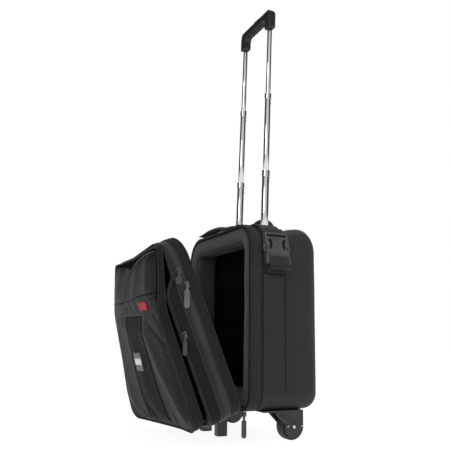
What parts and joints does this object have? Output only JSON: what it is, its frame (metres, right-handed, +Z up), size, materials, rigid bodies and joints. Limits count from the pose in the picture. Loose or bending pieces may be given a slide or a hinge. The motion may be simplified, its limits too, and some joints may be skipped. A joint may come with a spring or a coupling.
{
  "type": "rolling flight case",
  "caption": "Soft-sided rolling flight case with a bottom-hinged padded front lid, telescopic pull handle, wheels, grab handles and buckled side straps.",
  "frame": {"origin": "on the floor, under the middle of the whole case's box", "axes": "+Z up, +Y from the front lid towards the case's back, +X to the case's right as its front is faced along +Y"},
  "size_m": [0.4098, 0.4066, 1.1011],
  "materials": {
    "case_fabric": "woven polyester, slightly lustrous",
    "border_fabric": "brushed woven polyester over foam",
    "lining": "dark lining cloth",
    "binding": "ribbed binding tape and piping",
    "zip_tape": "woven zip tape with a moulded coil",
    "black_plastic": "fine moulded texture",
    "grey_plastic": "semi-gloss moulded acetal",
    "steel": "plain",
    "chrome": "polished chrome plate",
    "grip_rubber": "ribbed soft rubber",
    "tyre": "matt polyurethane",
    "webbing": "ribbed webbing",
    "leatherette": "semi-gloss coated fabric",
    "strip_fabric": "matt dark weave",
    "label_cloth": "woven label, plain",
    "pull_rubber": "matt grey rubber",
    "slider_metal": "black-nickel lacquer"
  },
  "bodies": {
    "case": {"case_shell": "case_fabric", "foam_frame": "border_fabric", "back_pad": "lining", "body_piping": "binding", "body_zip_tape": "zip_tape", "seam_piping": "binding", "base_plate": "black_plastic", "front_feet": "black_plastic", "hinge_strip": "binding", "fasteners": "steel", "wheel_bracket_left": "black_plastic", "wheel_bracket_right": "black_plastic", "wheel_axles": "steel", "handle_bezel": "black_plastic", "outer_tubes": "chrome", "bottom_bridge": "black_plastic", "front_grab_handle": "webbing", "rear_grab_handle": "webbing", "handle_tabs": "webbing", "side_straps": "webbing", "top_straps": "webbing", "buckle_socket_left": "grey_plastic", "buckle_socket_right": "grey_plastic", "body_zip_sliders": "slider_metal"},
    "lid": {"lid_tray": "case_fabric", "lid_lining": "lining", "lid_piping": "binding", "organiser_shell": "case_fabric", "tray_zip_tape": "zip_tape", "pocket_zip_tape": "zip_tape", "pocket_gusset": "lining", "pocket_shell": "leatherette", "pocket_band": "leatherette", "centre_strip": "strip_fabric", "pocket_labels": "label_cloth", "lid_zip_sliders": "slider_metal"},
    "stage_a": {"stage_a_tubes": "chrome", "stage_a_collars": "chrome"},
    "stage_b": {"stage_b_tubes": "chrome", "stage_b_collars": "chrome"},
    "stage_c": {"stage_c_tubes": "chrome", "grip": "black_plastic", "grip_pad": "grip_rubber"},
    "button": {"release_button": "grey_plastic"},
    "wheel_left": {"wheel_hub_left": "grey_plastic", "wheel_tyre_left": "tyre", "wheel_bearings_left": "steel"},
    "wheel_right": {"wheel_hub_right": "grey_plastic", "wheel_tyre_right": "tyre", "wheel_bearings_right": "steel"},
    "buckle_left": {"buckle_plug_left": "grey_plastic", "strap_tail_left": "webbing"},
    "buckle_right": {"buckle_plug_right": "grey_plastic", "strap_tail_right": "webbing"},
    "mouth_pull_left": {"mouth_pull_left": "pull_rubber"},
    "mouth_pull_right": {"mouth_pull_right": "pull_rubber"},
    "tray_pull_short": {"tray_pull_short": "pull_rubber"},
    "tray_pull_long": {"tray_pull_long": "pull_rubber"},
    "pocket_pull": {"pocket_pull": "pull_rubber"}
  },
  "joints": [
    {"name": "lid_hinge", "type": "hinge", "parent": "case", "child": "lid", "pos_m": [0, 0.01732, 0.047], "axis": [1, 0, 0], "range_deg": [-22.5, 6]},
    {"name": "stage_a_slide", "type": "slide", "parent": "case", "child": "stage_a", "axis": [0, 0.0288, 0.9996], "range_m": [-0.135, 0]},
    {"name": "stage_b_slide", "type": "slide", "parent": "stage_a", "child": "stage_b", "axis": [0, 0.0288, 0.9996], "range_m": [-0.194, 0]},
    {"name": "stage_c_slide", "type": "slide", "parent": "stage_b", "child": "stage_c", "axis": [0, 0.0288, 0.9996], "range_m": [-0.185, 0]},
    {"name": "button_press", "type": "slide", "parent": "stage_c", "child": "button", "axis": [0, -0.0288, -0.9996], "range_m": [0, 0.004], "stiffness_N_per_m": 500},
    {"name": "wheel_left_spin", "type": "hinge", "parent": "case", "child": "wheel_left", "pos_m": [-0.148, 0.14032, 0.03], "axis": [1, 0, 0], "continuous": true},
    {"name": "wheel_right_spin", "type": "hinge", "parent": "case", "child": "wheel_right", "pos_m": [0.148, 0.14032, 0.03], "axis": [1, 0, 0], "continuous": true},
    {"name": "buckle_left_release", "type": "slide", "parent": "case", "child": "buckle_left", "axis": [-0.1736, 0, -0.9848], "range_m": [0, 0.028]},
    {"name": "buckle_right_release", "type": "slide", "parent": "case", "child": "buckle_right", "axis": [0.1736, 0, -0.9848], "range_m": [0, 0.028]},
    {"name": "mouth_pull_left_swing", "type": "hinge", "parent": "case", "child": "mouth_pull_left", "pos_m": [-0.154, 0.01992, 0.0596], "axis": [1, 0, 0], "range_deg": [-20, 60]},
    {"name": "mouth_pull_right_swing", "type": "hinge", "parent": "case", "child": "mouth_pull_right", "pos_m": [0.154, 0.01992, 0.0596], "axis": [1, 0, 0], "range_deg": [-20, 60]},
    {"name": "tray_pull_short_swing", "type": "hinge", "parent": "lid", "child": "tray_pull_short", "pos_m": [0.1832, -0.15233, 0.35989], "axis": [1, 0, 0], "range_deg": [-30, 60]},
    {"name": "tray_pull_long_swing", "type": "hinge", "parent": "lid", "child": "tray_pull_long", "pos_m": [0.182, -0.13231, 0.33247], "axis": [1, 0, 0], "range_deg": [-60, 60]},
    {"name": "pocket_pull_swing", "type": "hinge", "parent": "lid", "child": "pocket_pull", "pos_m": [0.182, -0.13399, 0.22678], "axis": [1, 0, 0], "range_deg": [-60, 60]}
  ]
}
